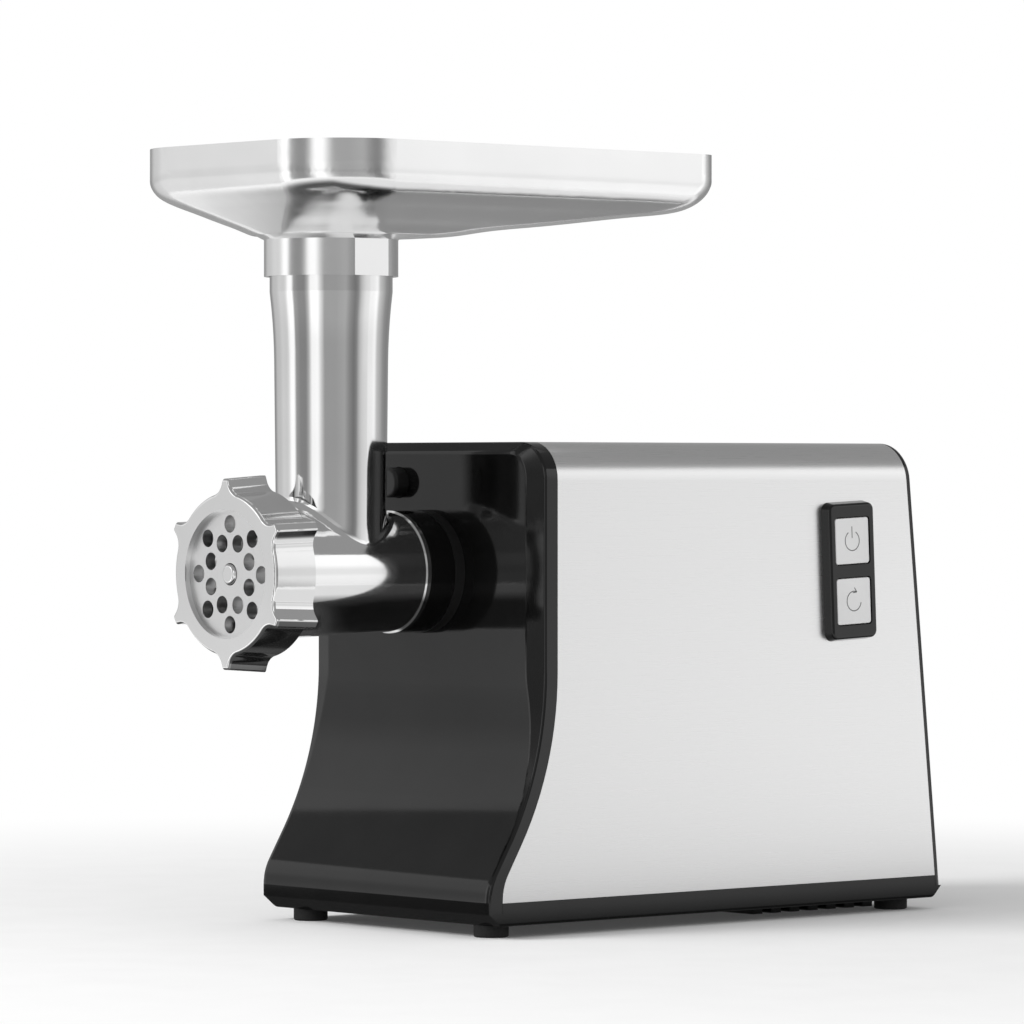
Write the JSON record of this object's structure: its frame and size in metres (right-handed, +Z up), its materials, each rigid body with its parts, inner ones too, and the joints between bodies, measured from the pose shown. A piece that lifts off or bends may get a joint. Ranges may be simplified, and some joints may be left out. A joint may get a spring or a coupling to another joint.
{
  "type": "electric meat grinder",
  "caption": "Countertop electric meat grinder: geared motor housing with a swept front, a cast grinding head with feed tube and ring nut, a hopper tray and push buttons.",
  "frame": {"origin": "on the table under the middle of the machine", "axes": "+Z up; -Y the way the ring nut faces; +X the side with the push buttons"},
  "size_m": [0.1555, 0.3495, 0.3318],
  "materials": {
    "gloss_black": "polished black moulding",
    "satin_black": "fine matte black moulding",
    "wrap_steel": "fine brushed stainless sheet",
    "cast_alloy": "polished cast aluminium",
    "tray_alloy": "polished pressed aluminium",
    "tool_steel": "ground tool steel",
    "bright_steel": "turned steel",
    "silver_plastic": "satin silver moulding",
    "rubber_feet": "moulded rubber",
    "gear_resin": "natural gear resin",
    "case_alloy": "die-cast, as cast",
    "motor_iron": "varnished laminations",
    "copper_wire": "enamelled copper",
    "bearing_bronze": "sintered bronze",
    "carbon": "pressed carbon",
    "board": "glass-fibre board"
  },
  "bodies": {
    "housing": {"front_cover": "gloss_black", "steel_wrap": "wrap_steel", "body_shell": "gloss_black", "rear_cover": "gloss_black", "cord_gland": "satin_black", "base_plate": "gloss_black", "feet": "rubber_feet", "base_screws": "bright_steel", "control_bezel": "gloss_black", "switch_board": "board", "head_socket": "gloss_black", "socket_ring": "satin_black", "gear_axles": "bright_steel", "gearbox_case": "case_alloy", "gearbox_cover": "case_alloy", "output_bushes": "bearing_bronze", "gearbox_screws": "bright_steel", "motor_stator": "motor_iron", "field_coils": "copper_wire", "motor_bracket": "case_alloy", "carbon_brushes": "carbon", "motor_bushes": "bearing_bronze", "motor_tie_rods": "bright_steel"},
    "head": {"meat_head": "cast_alloy"},
    "tray": {"hopper_tray": "tray_alloy"},
    "plate": {"grinding_plate": "tool_steel"},
    "nut": {"ring_nut": "cast_alloy"},
    "drive": {"cutting_blade": "tool_steel", "auger": "cast_alloy", "thrust_washer": "gear_resin", "drive_coupling": "bright_steel", "output_shaft": "bright_steel", "output_gear": "bright_steel"},
    "idler_b": {"gear_b": "gear_resin"},
    "idler_a": {"gear_a": "gear_resin"},
    "rotor": {"armature_core": "motor_iron", "armature_windings": "copper_wire", "motor_shaft": "bright_steel", "motor_pinion": "bright_steel", "commutator": "copper_wire", "cooling_fan": "satin_black"},
    "power_key": {"power_button": "silver_plastic"},
    "reverse_key": {"reverse_button": "silver_plastic"},
    "lock": {"lock_button": "satin_black"}
  },
  "joints": [
    {"name": "head_twist", "type": "hinge", "parent": "housing", "child": "head", "pos_m": [0, -0.08, 0.1524], "axis": [0, -1, 0], "range_deg": [0, 45]},
    {"name": "tray_lift", "type": "slide", "parent": "head", "child": "tray", "axis": [0, 0, 1], "range_m": [0, 0.03]},
    {"name": "plate_draw", "type": "slide", "parent": "head", "child": "plate", "axis": [0, -1, 0], "range_m": [0, 0.0121]},
    {"name": "nut_turn", "type": "hinge", "parent": "plate", "child": "nut", "pos_m": [0, -0.165, 0.1524], "axis": [0, -1, 0], "range_deg": [0, 1080]},
    {"name": "motor_spin", "type": "hinge", "parent": "housing", "child": "rotor", "pos_m": [-0.00004, 0.05, 0.06477], "axis": [0, 1, 0], "continuous": true},
    {"name": "gear_a_spin", "type": "hinge", "parent": "housing", "child": "idler_a", "pos_m": [0.01397, -0.02, 0.09793], "axis": [0, 1, 0], "continuous": true},
    {"name": "gear_b_spin", "type": "hinge", "parent": "housing", "child": "idler_b", "pos_m": [-0.02002, -0.02, 0.11378], "axis": [0, 1, 0], "continuous": true},
    {"name": "auger_spin", "type": "hinge", "parent": "housing", "child": "drive", "pos_m": [0, -0.1, 0.1524], "axis": [0, 1, 0], "continuous": true},
    {"name": "power_press", "type": "slide", "parent": "housing", "child": "power_key", "axis": [-1, 0, 0], "range_m": [0, 0.002], "stiffness_N_per_m": 900},
    {"name": "reverse_press", "type": "slide", "parent": "housing", "child": "reverse_key", "axis": [-1, 0, 0], "range_m": [0, 0.002], "stiffness_N_per_m": 900},
    {"name": "lock_press", "type": "slide", "parent": "housing", "child": "lock", "axis": [0, 1, 0], "range_m": [0, 0.003], "stiffness_N_per_m": 1200}
  ],
  "couplings": [
    {"joint": "gear_a_spin", "follows": "motor_spin", "ratio": -0.2},
    {"joint": "gear_b_spin", "follows": "motor_spin", "ratio": 0.05},
    {"joint": "auger_spin", "follows": "motor_spin", "ratio": -0.013043},
    {"joint": "plate_draw", "follows": "nut_turn", "m_per_rad": 0.00063662}
  ]
}
